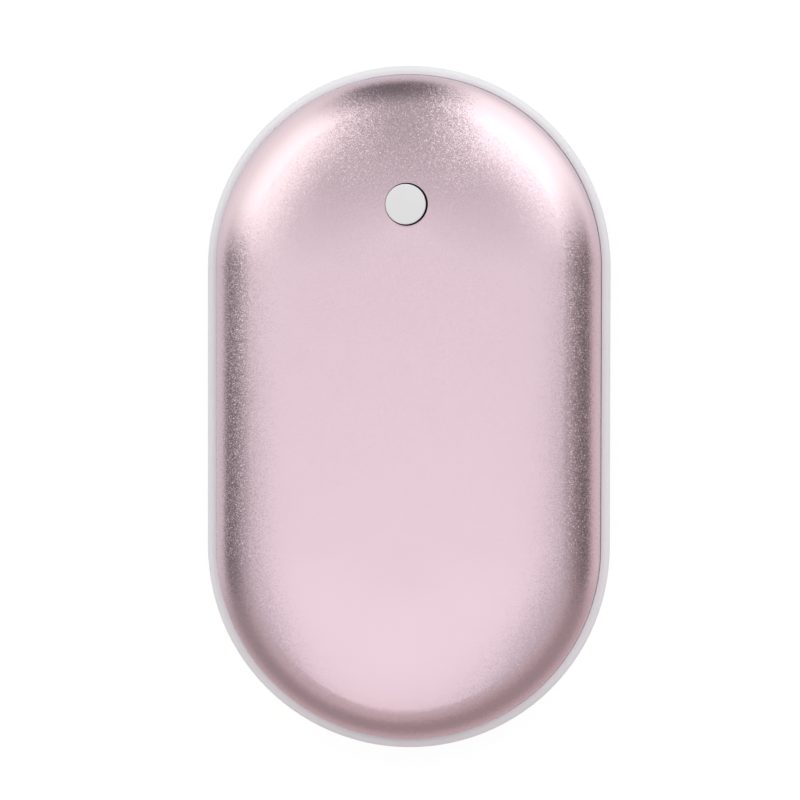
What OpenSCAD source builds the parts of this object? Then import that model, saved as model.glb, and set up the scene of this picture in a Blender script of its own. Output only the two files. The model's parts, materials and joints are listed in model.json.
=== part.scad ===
// Rechargeable hand warmer: two domed aluminium shells bonded to a plastic middle frame.
// It lies on its rear shell. X is its width, Y its length with the button end at +Y, and Z is up.
// The origin is under its middle, on the surface that it lies on. Sizes are in millimetres.
// The body is built round its two cells: with the values below it is 110 long, 65 wide and 27 thick.

/* [Room round the cells] */
// From the cells to the inside of the frame at each side
side_room = 10.2; // [9.6:0.2:14]
// From the cells to the inside of the frame at the rear end
end_room = 1.4; // [1:0.1:6]
// From the cells to the liner above and below them
pad_room = 0.55; // [0.4:0.05:1.5]

/* [Shells] */
// Sheet thickness of the aluminium shells
shell_wall = 0.8; // [0.6:0.1:1]
// Half width of the flat middle of each shell
plateau_r = 6; // [4:0.5:9]
// Drop of the crown from the flat middle to the top of the side arc
crown_drop = 1.76; // [1.5:0.02:1.9]
// Radius of the turned-down side
side_r = 7; // [6:0.25:8]
// How far the rims of the shells stand inside the outline of the frame
rim_inset = 1.5; // [1.3:0.1:2]
// How deep each rim sits in its groove
rim_sink = 0.7; // [0.5:0.05:0.8]
// Thickness of the adhesive under each rim
glue_t = 0.2; // [0.1:0.05:0.3]

/* [Middle frame] */
// Height of the band that shows between the shells
frame_h = 8.5; // [8.25:0.25:10]
// Wall from the outline to the inside of the frame
frame_wall = 3.7; // [3.4:0.1:4]
// Rounding of the outer edges of the band
edge_r = 1; // [0.5:0.1:1.1]
// How far the locating rib stands up inside each shell
rib_rise = 1.2; // [0.6:0.1:1.6]
// Diameter of the screw bosses
boss_d = 4.6; // [4.2:0.1:5]
// Distance of the liner bosses inside the edge of the liner
boss_inset = 1.5; // [1.4:0.1:2]
// Distance of the liner bosses from the middle, along the length
boss_y = 18; // [12:1:19]
// Height of the liner bosses
boss_h = 13; // [11:0.5:14]
// Diameter of the four charge light windows
window_d = 1.2; // [0.8:0.1:1.6]
// Angle between neighbouring charge light windows, seen from the centre of the end
window_step = 5; // [4:0.5:6]

/* [Ports] */
// Depth of the port recess at the tip of the frame
recess_depth = 2.4; // [2:0.1:3]
// Height of the port recess
recess_h = 6.2; // [6:0.05:6.4]
// How far the port recess reaches past the sockets at each end
recess_margin = 1.4; // [1:0.1:2.4]
// Width of the metal shell of the USB-A socket
usb_w = 13.1; // [13:0.05:13.3]
// Height of the metal shell of the USB-A socket
usb_h = 5.7; // [5.6:0.05:5.9]
// Length of the USB-A socket
usb_len = 14; // [12:0.5:14]
// Width of the metal shell of the micro-USB socket
micro_w = 7.5; // [7.4:0.05:7.8]
// Height of the metal shell of the micro-USB socket
micro_h = 2.45; // [2.4:0.05:2.6]
// Length of the micro-USB socket
micro_len = 5.2; // [4.8:0.1:6]
// Gap between the two sockets
socket_gap = 3.6; // [3:0.1:4]
// Sheet thickness of the socket shells
socket_sheet = 0.3; // [0.2:0.05:0.35]

/* [Button] */
// Diameter of the button cap
button_d = 6.4; // [5:0.2:8]
// Gap round the cap in the hole of the shell
button_gap = 0.2; // [0.15:0.05:0.3]
// How far the hole stands off the axis of the button, towards +X
hole_offset = 0.14; // [0:0.02:0.14]
// Distance of the button from the end of the body
button_from_end = 22.5; // [21.5:0.5:24]
// How far the cap stands above the top of the shell
button_proud = 0.3; // [0.2:0.1:0.8]
// Travel of the button
button_travel = 0.3; // [0.2:0.05:0.4]
// Radius of the domed face of the cap
cap_dome_r = 40; // [20:5:80]
// Width and height of the bevel round the face of the cap
cap_bevel = 0.1; // [0.05:0.05:0.5]
// How far the collar reaches past the cap
collar_reach = 1.2; // [0.8:0.1:1.6]
// Thickness of the collar
collar_t = 0.8; // [0.5:0.1:0.9]
// Diameter of the stem that pushes the switch
stem_d = 3; // [2:0.1:3.2]

/* [Cells] */
// Diameter of one cell in its sleeve
cell_d = 18.3; // [18:0.1:18.4]
// Length of one cell with its positive cap
cell_len = 65; // [63:0.5:65]
// Gap between the two cells
cell_gap = 0.6; // [0.3:0.1:0.8]
// Thickness of the nickel strips
strip_t = 0.15; // [0.1:0.05:0.2]
// Width of the nickel strips
strip_w = 8; // [6:0.5:9]

/* [Liners and films] */
// Thickness of the plate of each liner
liner_t = 1.2; // [1:0.1:1.3]
// Depth of the liner plate under the top of its shell
liner_depth = 2.6; // [2.5:0.05:2.7]
// Thickness of the heating film
film_t = 0.25; // [0.15:0.05:0.3]
// How far the heating film ends before the place where it would meet the liner
film_margin = 0.2; // [0.2:0.2:5]
// How far the foam sheet ends inside the edge of the heating film
foam_inset = 2; // [2:0.5:4]
// Thickness of the cradle ribs along the cells
cradle_rib = 4; // [3:0.5:6]
// Height of the cradle ribs
cradle_h = 5.5; // [4:0.5:7]

/* [Circuit board] */
// Thickness of the board
board_t = 1.2; // [1:0.1:1.6]
// Gap between the edge of the board and the inside of the frame
board_gap = 1.2; // [1:0.1:1.5]
// Height of the board's underside above the middle plane
board_rise = 0.5; // [0.3:0.1:0.8]
// Side of the square push switch
switch_w = 6; // [5:0.2:6.2]
// Height of the push switch with its plunger
switch_h = 4.3; // [4:0.1:5]
// Diameter of the switch plunger
plunger_d = 3.4; // [3:0.1:3.5]
// Diameter of the heater and battery leads
lead_d = 1.6; // [1.2:0.1:1.7]
// Diameter of the thermistor leads
sense_d = 0.6; // [0.4:0.1:0.7]

/* [Screws] */
// Diameter of the screw shanks
screw_d = 1.9; // [1.7:0.1:2]
// Diameter of the screw heads
screw_head_d = 3.4; // [3:0.1:3.6]
// Height of the screw heads
screw_head_h = 1; // [0.8:0.1:1]
// Length of the screw thread in its boss
screw_bite = 4.5; // [3:0.5:5]

/* [Clearances] */
// Gap between fixed pieces that slot together
fit_gap = 0.1; // [0.05:0.01:0.12]
// Gap round what only has to clear
free_gap = 0.3; // [0.2:0.05:0.4]

/* [Hidden] */
$fn = 96;

shell_pink = [0.88, 0.72, 0.77];
frame_white = [0.93, 0.93, 0.94];
liner_white = [0.85, 0.85, 0.83];
film_amber = [0.80, 0.50, 0.15];
foam_black = [0.16, 0.16, 0.17];
board_green = [0.10, 0.35, 0.20];
metal = [0.78, 0.78, 0.80];
gold = [0.83, 0.68, 0.30];
part_black = [0.12, 0.12, 0.12];
cell_blue = [0.20, 0.35, 0.62];
lead_red = [0.75, 0.10, 0.10];

// Width and thickness of the body, worked out from the cells and the room round them
cells_half_w = cell_d + cell_gap / 2;
inner_r = cells_half_w + side_room;
end_r = inner_r + frame_wall;
mid_z = cell_d / 2 + pad_room + liner_t + liner_depth;
body_t = 2 * mid_z;
band_top = mid_z + frame_h / 2;

// Length of the body: the outline has a half circle at each end of a straight run, and the half length
// of the straight run is rounded up to a quarter of a millimetre
switch_apron = 4.5;
strip_room = 3;
front_room = button_from_end + switch_w / 2 + switch_apron + strip_room;
end_reach = end_r + sqrt(pow(inner_r, 2) - pow(cells_half_w, 2));
half_straight = ceil(2 * (front_room + cell_len + end_room - end_reach)) / 4;

// Shell section: flat middle, crown arc, side arc and upright rim. The crown radius is rounded to a whole
// millimetre and the height of the side arc's centre down to a hundredth.
rim_r = end_r - rim_inset;
rim_z = band_top - rim_sink;
groove_z = rim_z - glue_t;
side_x = rim_r - side_r;
crown_r = round((pow(side_x - plateau_r, 2) + pow(crown_drop + side_r, 2) - pow(side_r, 2)) / (2 * crown_drop));
side_z = floor(100 * (body_t - crown_r + sqrt(pow(crown_r - side_r, 2) - pow(side_x - plateau_r, 2)))) / 100;
// Direction from the centre of the crown arc to that of the side arc, through the point where they meet
lean = [side_x - plateau_r, side_z - body_t + crown_r] / (crown_r - side_r);

rib_r = rim_r - shell_wall - 2 * fit_gap;
rib_top = band_top + rib_rise;

// Layers under each shell, measured in from its outer face
film_in = shell_wall + fit_gap;
foam_in = film_in + film_t + fit_gap;
liner_top = body_t - liner_depth;
liner_low = liner_top - liner_t;

// Half widths of the flat liner, the film and the foam, rounded down to a tenth
liner_r = floor(10 * (dome_reach(liner_top, shell_wall) - free_gap)) / 10;
film_r = floor(10 * (dome_reach(liner_top + fit_gap, film_in + film_t) - film_margin)) / 10;
foam_r = film_r - foam_inset;

// Places along the length, worked out from the button end
tip_y = half_straight + end_r;
recess_y = tip_y - recess_depth;
mouth_y = recess_y - free_gap;
button_y = tip_y - button_from_end;
board_back_y = button_y - switch_w / 2 - switch_apron;
cell_front_y = board_back_y - strip_room;
cell_back_y = cell_front_y - cell_len;
cap_h = 1;
cap_d = 6;
insulator_t = 0.3;
cell_x = (cell_d + cell_gap) / 2;
cell_top = mid_z + cell_d / 2;

// Height of the black lead, which lies in the valley between the cells
valley_z = mid_z + sqrt(pow((cell_d + lead_d) / 2 + fit_gap, 2) - pow(cell_x, 2));
lead_pad_y = board_back_y + 1.8;
lead_bend = 0.6 * lead_d;

boss_x = liner_r - boss_inset;
boss_top = mid_z + boss_h / 2;

board_z = mid_z + board_rise;
board_top = board_z + board_t;
board_r = inner_r - board_gap;
board_boss_inset = 9.8;
board_boss_x = inner_r - board_boss_inset;
board_boss_ahead = 3.5;
board_boss_y = button_y + board_boss_ahead;
// Depth of the hole in a boss past the tip of its screw
tip_room = 0.5;
board_boss_h = screw_bite + tip_room + 1;
// Least distance between parts on the board
part_gap = 1;

// The sockets stand side by side about the middle of the recess
sockets_w = usb_w + socket_gap + micro_w;
recess_w = sockets_w + 2 * recess_margin;
usb_x = (usb_w - sockets_w) / 2;
micro_x = (sockets_w - micro_w) / 2;
micro_z = board_z - micro_h / 2;
tongue_t = 1.84;
tongue_z = mid_z + 0.12;
tongue_back = 1;
usb_core_len = 3;
contact_t = 0.2;

// What stays free under the collar and under the plunger at the end of the travel
press_gap = 0.05;
cap_r = button_d / 2;
cap_top = body_t + button_proud;
collar_r = cap_r + collar_reach;
collar_z = liner_top + button_travel + press_gap;
plunger_top = board_top + switch_h;
plunger_rise = 1;
cover_t = 0.2;
switch_case_h = switch_h - plunger_rise;
switch_floor = 0.8;
plunger_lip = 0.3;

// Windows where leads and thermistors pass through foam and liner: middle x, y and size
window_w = 18;
window_len = 3.4;
front_window_y = board_back_y + 1;
rear_window_y = board_back_y + 3;
lead_xs = [-7.5, -4.5];
sense_x = 5;
sense_pitch = 1.2;
thermistor_d = 2.6;
thermistor_t = 1;
paste_t = 0.05;

guide_angle = 57;
guide_t = 0.8;
guide_h = 1.8;

// Half width of the dome at a height, with its face moved in by an inset
function dome_reach(z, inset) =
    z <= side_z ? rim_r - inset :
    z <= side_z + (side_r - inset) * lean.y ? side_x + sqrt(pow(side_r - inset, 2) - pow(z - side_z, 2)) :
    plateau_r + sqrt(pow(crown_r - inset, 2) - pow(z - body_t + crown_r, 2));

// Height of the crown at a distance from the spine, with its face moved in by an inset
function crown_z(r, inset) =
    r <= plateau_r ? body_t - inset :
    body_t - crown_r + sqrt(pow(crown_r - inset, 2) - pow(r - plateau_r, 2));

// Distance of a point beyond the spine, which is the line between the centres of the two ends
function spine_r(x, y) = norm([x, max(abs(y) - half_straight, 0)]);

// Half section of the front dome above a floor, with its face moved in by an inset
module dome_profile(inset, floor_z) {
    beyond = [side_x, side_z] + 2 * side_r * lean;
    translate([0, floor_z]) square([plateau_r, body_t - inset - floor_z]);
    translate([0, floor_z]) square([rim_r - inset, side_z - floor_z]);
    intersection() {
        translate([plateau_r, body_t - crown_r]) circle(crown_r - inset, $fn = 360);
        polygon([[plateau_r, side_z], [plateau_r, body_t + side_r], beyond, [side_x, side_z]]);
    }
    intersection() {
        translate([side_x, side_z]) circle(side_r - inset);
        polygon([[side_x, side_z], beyond, [rim_r + side_r, beyond.y], [rim_r + side_r, side_z]]);
    }
}

// Carries a half section round the outline: two straight runs and a half turn at each end
module stadium_sweep() {
    rotate([90, 0, 0]) linear_extrude(height = 2 * half_straight, center = true) {
        children();
        mirror([1, 0]) children();
    }
    for (turn = [0, 180])
        rotate([0, 0, turn]) translate([0, half_straight, 0]) rotate_extrude(angle = 180) children();
}

// Flat plate in the shape of the outline, with a given half width
module stadium_plate(r, z, t) {
    translate([-r, -half_straight, z]) cube([2 * r, 2 * half_straight, t]);
    for (end = [-1, 1])
        translate([0, end * half_straight, z]) cylinder(r = r, h = t);
}

// The rear half mirrors the front half about the middle plane
module to_rear() {
    translate([0, 0, body_t]) mirror([0, 0, 1]) children();
}

module rounded_rect(w, h, r) {
    square([w - 2 * r, h], center = true);
    square([w, h - 2 * r], center = true);
    for (x = [-1, 1], y = [-1, 1])
        translate([x * (w / 2 - r), y * (h / 2 - r)]) circle(r);
}

// A 2D shape in X and Z, carried towards +Y
module along_y(y, length) {
    translate([0, y + length, 0]) rotate([90, 0, 0]) linear_extrude(height = length) children();
}

module at_bosses() {
    for (x = [-1, 1], y = [-1, 1])
        translate([x * boss_x, y * boss_y, 0]) children();
}

module at_board_bosses() {
    for (x = [-1, 1])
        translate([x * board_boss_x, board_boss_y, 0]) children();
}

// Screw with its head's face at the origin and its shank pointing up
module screw_up(shank) {
    cylinder(d = screw_head_d, h = screw_head_h);
    translate([0, 0, screw_head_h / 2]) cylinder(d = screw_d, h = shank + screw_head_h / 2);
}

function bend_reach(route, i, bend_r) =
    let (back = route[i] - route[i - 1], ahead = route[i + 1] - route[i])
    bend_r * tan(acos(back * ahead / norm(back) / norm(ahead)) / 2);

// Round wire along a route, each corner bent to one radius
module wire(route, d, bend_r) {
    last = len(route) - 1;
    for (i = [0 : last - 1]) {
        run = route[i + 1] - route[i];
        ahead = run / norm(run);
        from = i == 0 ? 0 : bend_reach(route, i, bend_r);
        to = i == last - 1 ? 0 : bend_reach(route, i + 1, bend_r);
        translate(route[i] + from * ahead) rotate([0, acos(ahead.z), atan2(ahead.y, ahead.x)])
            cylinder(d = d, h = norm(run) - from - to);
    }
    if (last > 1)
        for (i = [1 : last - 1]) {
            back = (route[i] - route[i - 1]) / norm(route[i] - route[i - 1]);
            ahead = (route[i + 1] - route[i]) / norm(route[i + 1] - route[i]);
            turn = cross(back, ahead);
            hinge = turn / norm(turn);
            out = -cross(hinge, back);
            centre = route[i] - bend_reach(route, i, bend_r) * back - bend_r * out;
            multmatrix([
                [out.x, back.x, hinge.x, centre.x],
                [out.y, back.y, hinge.y, centre.y],
                [out.z, back.z, hinge.z, centre.z]
            ]) rotate_extrude(angle = acos(back * ahead)) translate([bend_r, 0]) circle(d = d);
        }
}

module shell_form() {
    stadium_sweep() difference() {
        dome_profile(0, rim_z);
        dome_profile(shell_wall, rim_z - 1);
    }
}

module front_shell() {
    color(shell_pink) difference() {
        shell_form();
        translate([hole_offset, button_y, band_top]) cylinder(r = cap_r + button_gap, h = body_t);
    }
}

module rear_shell() {
    color(shell_pink) to_rear() shell_form();
}

// Adhesive between the floor of the groove and the rim of a shell
module shell_adhesive() {
    stadium_sweep() translate([rib_r + fit_gap, groove_z]) square([rim_r - rib_r - fit_gap, glue_t]);
}

module front_shell_adhesive() {
    color(liner_white) shell_adhesive();
}

module rear_shell_adhesive() {
    color(liner_white) to_rear() shell_adhesive();
}

module frame_profile() {
    difference() {
        union() {
            translate([inner_r, mid_z - frame_h / 2]) square([end_r - edge_r - inner_r, frame_h]);
            translate([inner_r, mid_z - frame_h / 2 + edge_r]) square([end_r - inner_r, frame_h - 2 * edge_r]);
            for (side = [-1, 1])
                translate([end_r - edge_r, mid_z + side * (frame_h / 2 - edge_r)]) circle(edge_r);
            translate([inner_r, body_t - rib_top]) square([rib_r - inner_r, 2 * rib_top - body_t]);
        }
        for (z = [groove_z, body_t - groove_z - 2 * rim_sink])
            translate([rib_r, z]) square([rim_r + fit_gap - rib_r, 2 * rim_sink]);
    }
}

// Port recess and the two socket openings, cut through the tip of the frame
module port_cuts() {
    along_y(recess_y, end_r) translate([0, mid_z]) {
        square([recess_w - recess_h, recess_h], center = true);
        for (x = [-1, 1])
            translate([x * (recess_w - recess_h) / 2, 0]) circle(d = recess_h);
    }
    translate([usb_x - usb_w / 2 - fit_gap, half_straight, mid_z - usb_h / 2 - fit_gap])
        cube([usb_w + 2 * fit_gap, end_r, usb_h + 2 * fit_gap]);
    translate([micro_x - micro_w / 2 - fit_gap, half_straight, micro_z - micro_h / 2 - fit_gap])
        cube([micro_w + 2 * fit_gap, end_r, micro_h + 2 * fit_gap]);
}

module at_windows() {
    for (i = [0 : 3])
        translate([0, half_straight, mid_z]) rotate([0, 0, guide_angle - i * window_step]) rotate([0, 90, 0])
            children();
}

module mid_frame() {
    web_w = 1.6;
    web_h = frame_h - 2 * edge_r;
    board_arm = norm([board_boss_x, board_boss_y - half_straight]);
    color(frame_white) difference() {
        union() {
            stadium_sweep() frame_profile();
            at_bosses() translate([0, 0, mid_z - boss_h / 2]) cylinder(d = boss_d, h = boss_h);
            for (x = [-1, 1], y = [-1, 1])
                translate([x > 0 ? boss_x : -inner_r - 1, y * boss_y - web_w / 2, mid_z - web_h / 2])
                    cube([inner_r - boss_x + 1, web_w, web_h]);
            at_board_bosses() translate([0, 0, board_z - board_boss_h]) cylinder(d = boss_d, h = board_boss_h);
            for (x = [-1, 1])
                translate([0, half_straight, 0])
                    rotate([0, 0, atan2(board_boss_y - half_straight, x * board_boss_x)])
                    translate([board_arm, -web_w / 2, board_z - board_boss_h])
                        cube([inner_r + 1 - board_arm, web_w, board_boss_h - 1]);
        }
        at_bosses() for (z = [mid_z - boss_h / 2 - 1, boss_top - screw_bite - tip_room])
            translate([0, 0, z]) cylinder(d = screw_d + 2 * fit_gap, h = screw_bite + tip_room + 1);
        at_board_bosses() translate([0, 0, board_z - screw_bite - tip_room])
            cylinder(d = screw_d + 2 * fit_gap, h = screw_bite + tip_room + 1);
        port_cuts();
        at_windows() translate([0, 0, inner_r - 1]) cylinder(d = window_d, h = frame_wall + 2);
    }
}

// Cap, collar and stem in one moulding, turned about the axis of the button
module power_button() {
    bevel_r = cap_r - cap_bevel;
    bevel_z = cap_top - cap_dome_r + sqrt(pow(cap_dome_r, 2) - pow(bevel_r, 2));
    color(frame_white) translate([0, button_y, 0]) rotate_extrude() {
        intersection() {
            polygon([
                [0, collar_z], [cap_r, collar_z], [cap_r, bevel_z - cap_bevel], [bevel_r, bevel_z],
                [bevel_r, cap_top + 1], [0, cap_top + 1]
            ]);
            translate([0, cap_top - cap_dome_r]) circle(cap_dome_r, $fn = 360);
        }
        translate([0, collar_z]) square([collar_r, collar_t]);
        translate([0, plunger_top]) square([stem_d / 2, collar_z - plunger_top + collar_t / 2]);
    }
}

// Plate with four screw pillars and a window for the leads
module liner_body(window_y) {
    pillar_h = liner_low - boss_top;
    difference() {
        union() {
            stadium_plate(liner_r, liner_low, liner_t);
            at_bosses() translate([0, 0, boss_top]) cylinder(d = boss_d, h = pillar_h + liner_t / 2);
        }
        at_bosses() translate([0, 0, boss_top - 1]) cylinder(d = screw_d + 2 * fit_gap, h = body_t);
        at_bosses() translate([0, 0, liner_top - screw_head_h])
            cylinder(d = screw_head_d + 2 * fit_gap, h = body_t);
        translate([-window_w / 2, window_y - window_len / 2, liner_low - 1])
            cube([window_w, window_len, liner_t + 2]);
    }
}

// The front liner also guides the stem of the button
module front_liner() {
    guide_d = stem_d + 2;
    guide_rise = 1.8;
    color(liner_white) difference() {
        union() {
            liner_body(front_window_y);
            translate([0, button_y, liner_low - guide_rise]) cylinder(d = guide_d, h = guide_rise + liner_t / 2);
        }
        translate([0, button_y, liner_low - guide_rise - 1]) cylinder(r = stem_d / 2 + fit_gap, h = body_t);
    }
}

module rear_liner() {
    color(liner_white) to_rear() liner_body(rear_window_y);
}

module liner_screws() {
    at_bosses() translate([0, 0, liner_top]) mirror([0, 0, 1])
        screw_up(liner_top - screw_head_h - boss_top + screw_bite);
}

module front_liner_screws() {
    color(metal) liner_screws();
}

module rear_liner_screws() {
    color(metal) to_rear() liner_screws();
}

// Sheet that follows the inside of the dome between two insets, out to a half width
module dome_sheet(near, far, r) {
    stadium_sweep() intersection() {
        difference() {
            dome_profile(near, mid_z);
            dome_profile(far, mid_z);
        }
        translate([0, mid_z]) square([r, body_t]);
    }
}

// Opening in film and foam that clears the collar of the button
module collar_cut() {
    translate([0, button_y, mid_z]) cylinder(r = collar_r + free_gap, h = body_t);
}

module front_heater_film() {
    color(film_amber) difference() {
        dome_sheet(film_in, film_in + film_t, film_r);
        collar_cut();
    }
}

module rear_heater_film() {
    color(film_amber) to_rear() dome_sheet(film_in, film_in + film_t, film_r);
}

// Foam that fills the space between the heating film and the flat liner
module foam_form(window_y) {
    difference() {
        stadium_sweep() intersection() {
            dome_profile(foam_in, mid_z);
            translate([0, liner_top + fit_gap]) square([foam_r, body_t]);
        }
        translate([-window_w / 2, window_y - window_len / 2, mid_z]) cube([window_w, window_len, body_t]);
    }
}

module front_foam_sheet() {
    color(foam_black) difference() {
        foam_form(front_window_y);
        collar_cut();
    }
}

module rear_foam_sheet() {
    color(foam_black) to_rear() foam_form(rear_window_y);
}

// Height of the top of a lead or thermistor of a given width that is pasted to the front heating film,
// rounded down to a hundredth
function film_face(x, y, width) =
    floor(100 * (crown_z(spine_r(abs(x) + width / 2, y + width / 2), film_in + film_t) - paste_t)) / 100;

function thermistor_z(window_y) = film_face(sense_x, window_y, thermistor_d) - thermistor_t;

module thermistor(window_y) {
    translate([sense_x, window_y, thermistor_z(window_y)]) cylinder(d = thermistor_d, h = thermistor_t);
}

module front_thermistor() {
    color(part_black) thermistor(front_window_y);
}

module rear_thermistor() {
    color(part_black) to_rear() thermistor(rear_window_y);
}

// Lead from a height under the front shell down to a board face, with a step towards the button end
module stepped_lead(x, y, top, board_face, step, d) {
    halfway = (top + board_face) / 2;
    wire([[x, y, top], [x, y, halfway], [x, y + step, halfway], [x, y + step, board_face]], d, 0.45 * step);
}

// Two thin leads from a thermistor down to a board face
module thermistor_leads(window_y, board_face) {
    step = 2;
    for (side = [-1, 1])
        stepped_lead(
            sense_x + side * sense_pitch / 2, window_y, thermistor_z(window_y), board_face, step, sense_d
        );
}

module front_thermistor_leads() {
    color(part_black) thermistor_leads(front_window_y, board_top);
}

module rear_thermistor_leads() {
    color(part_black) to_rear() thermistor_leads(rear_window_y, body_t - board_z);
}

// Two leads from the heating film down to a board face
module heater_leads(window_y, board_face) {
    step = 3;
    for (x = lead_xs)
        stepped_lead(x, window_y, film_face(x, window_y, lead_d), board_face, step, lead_d);
}

module front_heater_leads() {
    color(lead_red) heater_leads(front_window_y, board_top);
}

module rear_heater_leads() {
    color(lead_red) to_rear() heater_leads(rear_window_y, body_t - board_z);
}

// Can with rounded shoulders and the crimp groove near its positive end
module battery_cell(side) {
    r = cell_d / 2;
    shoulder = 0.6;
    crimp_y = 3;
    crimp = 0.5;
    can = cell_len - cap_h - insulator_t;
    color(cell_blue) translate([side * cell_x, cell_back_y + can, mid_z]) rotate([90, 0, 0])
        rotate_extrude() polygon([
            [0, 0], [r - shoulder, 0], [r, shoulder], [r, crimp_y - crimp], [r - crimp, crimp_y],
            [r, crimp_y + crimp], [r, can - shoulder], [r - shoulder, can], [0, can]
        ]);
}

module battery_cell_left() {
    battery_cell(-1);
}

module battery_cell_right() {
    battery_cell(1);
}

module cell_caps() {
    color(metal) for (side = [-1, 1])
        translate([side * cell_x, cell_front_y, mid_z]) rotate([90, 0, 0])
            cylinder(d = cap_d, h = cap_h + insulator_t);
}

module cell_insulators() {
    edge = 1;
    color(liner_white) for (side = [-1, 1])
        translate([side * cell_x, cell_front_y - cap_h, mid_z]) rotate([90, 0, 0]) difference() {
            cylinder(d = cell_d - 2 * edge, h = insulator_t);
            translate([0, 0, -1]) cylinder(d = cap_d + 2 * fit_gap, h = insulator_t + 2);
        }
}

// Nickel strip welded across the ends of both cells
module nickel_strip(y) {
    translate([-cell_x - strip_w / 2, y, mid_z - strip_w / 2])
        cube([2 * cell_x + strip_w, strip_t, strip_w]);
}

// The strip at the positive ends is notched where the black lead passes it
module positive_strip() {
    notch_w = lead_d + 2 * free_gap;
    color(metal) difference() {
        nickel_strip(cell_front_y);
        translate([-notch_w / 2, cell_front_y - 1, valley_z - notch_w / 2])
            cube([notch_w, strip_t + 2, strip_w]);
    }
}

module negative_strip() {
    color(metal) nickel_strip(cell_back_y - strip_t);
}

// Ribs with hollows for both cells, joined by a floor, with an end stop past each nickel strip
module battery_cradle() {
    floor_z = body_t - liner_low;
    half_w = 2 * cell_x + cradle_rib / 4;
    stop_t = 1.4;
    stop_half = 12;
    stop_gap = strip_t + free_gap;
    color(liner_white) difference() {
        union() {
            for (share = [0.12, 0.5, 0.88])
                translate([-half_w, cell_back_y + share * cell_len - cradle_rib / 2, floor_z])
                    cube([2 * half_w, cradle_rib, cradle_h]);
            for (side = [-1, 1])
                translate([side * cell_x - 3, cell_back_y - stop_gap - stop_t, floor_z])
                    cube([6, cell_len + 2 * stop_gap + 2 * stop_t, cradle_h / 2]);
            for (y = [cell_back_y - stop_gap - stop_t, cell_front_y + stop_gap])
                translate([-stop_half, y, floor_z]) cube([2 * stop_half, stop_t, cradle_h + 2]);
        }
        for (side = [-1, 1])
            translate([side * cell_x, cell_front_y + stop_gap, mid_z]) rotate([90, 0, 0])
                cylinder(d = cell_d + 2 * fit_gap, h = cell_len + 2 * stop_gap);
    }
}

// Foam strips that press both cells down from the front liner
module battery_foam_pads() {
    pad_w = 10;
    pad_end = 6;
    pad_z = cell_top + fit_gap;
    color(foam_black) for (side = [-1, 1])
        translate([side * cell_x - pad_w / 2, cell_back_y + pad_end, pad_z])
            cube([pad_w, cell_len - 3 * pad_end, liner_low - pad_z]);
}

module battery_lead_red() {
    lead_z = mid_z + strip_w / 2 - lead_d / 2;
    color(lead_red) wire([
        [cell_x, cell_front_y + strip_t, lead_z], [cell_x, lead_pad_y, lead_z], [cell_x, lead_pad_y, board_top]
    ], lead_d, lead_bend);
}

module battery_lead_black() {
    color(part_black) wire([
        [0, cell_back_y, valley_z], [0, lead_pad_y, valley_z], [0, lead_pad_y, board_top]
    ], lead_d, lead_bend);
}

module circuit_board() {
    color(board_green) difference() {
        translate([0, half_straight, board_z]) cylinder(r = board_r, h = board_t);
        translate([-end_r, board_back_y - end_r, board_z - 1]) cube([2 * end_r, end_r, board_t + 2]);
        translate([usb_x - usb_w / 2 - fit_gap, mouth_y - usb_len - fit_gap, board_z - 1])
            cube([usb_w + 2 * fit_gap, usb_len + end_r, board_t + 2]);
        at_board_bosses() translate([0, 0, board_z - 1]) cylinder(d = screw_d + 2 * fit_gap, h = board_t + 2);
    }
}

module board_screws() {
    color(metal) at_board_bosses() translate([0, 0, board_top + screw_head_h]) mirror([0, 0, 1])
        screw_up(board_t + screw_bite);
}

// Case of the push switch, open at the top for the plunger's foot
module switch_body() {
    color(part_black) translate([0, button_y, board_top]) difference() {
        translate([-switch_w / 2, -switch_w / 2, 0]) cube([switch_w, switch_w, switch_case_h - cover_t]);
        translate([0, 0, switch_floor])
            cylinder(r = plunger_d / 2 + plunger_lip + 2 * fit_gap, h = switch_case_h);
    }
}

module switch_cover() {
    color(metal) translate([0, button_y, board_top + switch_case_h - cover_t]) difference() {
        translate([-switch_w / 2, -switch_w / 2, 0]) cube([switch_w, switch_w, cover_t]);
        translate([0, 0, -1]) cylinder(d = plunger_d + 2 * fit_gap, h = 3);
    }
}

// Plunger with a foot that the cover keeps in the case
module switch_plunger() {
    nub_z = board_top + switch_floor + button_travel + press_gap;
    foot_top = board_top + switch_case_h - cover_t - press_gap;
    foot_h = 0.6;
    color(part_black) translate([0, button_y, 0]) {
        translate([0, 0, nub_z]) cylinder(d = plunger_d, h = plunger_top - nub_z);
        translate([0, 0, foot_top - foot_h]) cylinder(d = plunger_d + 2 * plunger_lip, h = foot_h);
    }
}

module switch_terminals() {
    leg = [1.2, 0.8, 0.3];
    color(metal) for (x = [-1, 1], y = [-1, 1])
        translate([x * (switch_w + leg.x) / 2 - leg.x / 2, button_y + y * switch_w / 3 - leg.y / 2, board_top])
            cube(leg);
}

// Block with the outline of the USB-A shell, moved in by an inset
module usb_a_form(inset, y, length) {
    corner_r = 0.6;
    along_y(y, length) translate([usb_x, mid_z])
        rounded_rect(usb_w - 2 * inset, usb_h - 2 * inset, corner_r - inset);
}

// Metal shell open at its mouth, with two spring windows in its roof
module usb_a_shell() {
    slot_w = 1.6;
    slot_len = 5;
    slot_back = 3;
    color(metal) difference() {
        usb_a_form(0, mouth_y - usb_len, usb_len);
        usb_a_form(socket_sheet, mouth_y - usb_len + socket_sheet, usb_len);
        for (x = [-1, 1])
            translate([usb_x + x * usb_w / 4 - slot_w / 2, mouth_y - slot_len - slot_back, mid_z])
                cube([slot_w, slot_len, usb_h]);
    }
}

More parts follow.
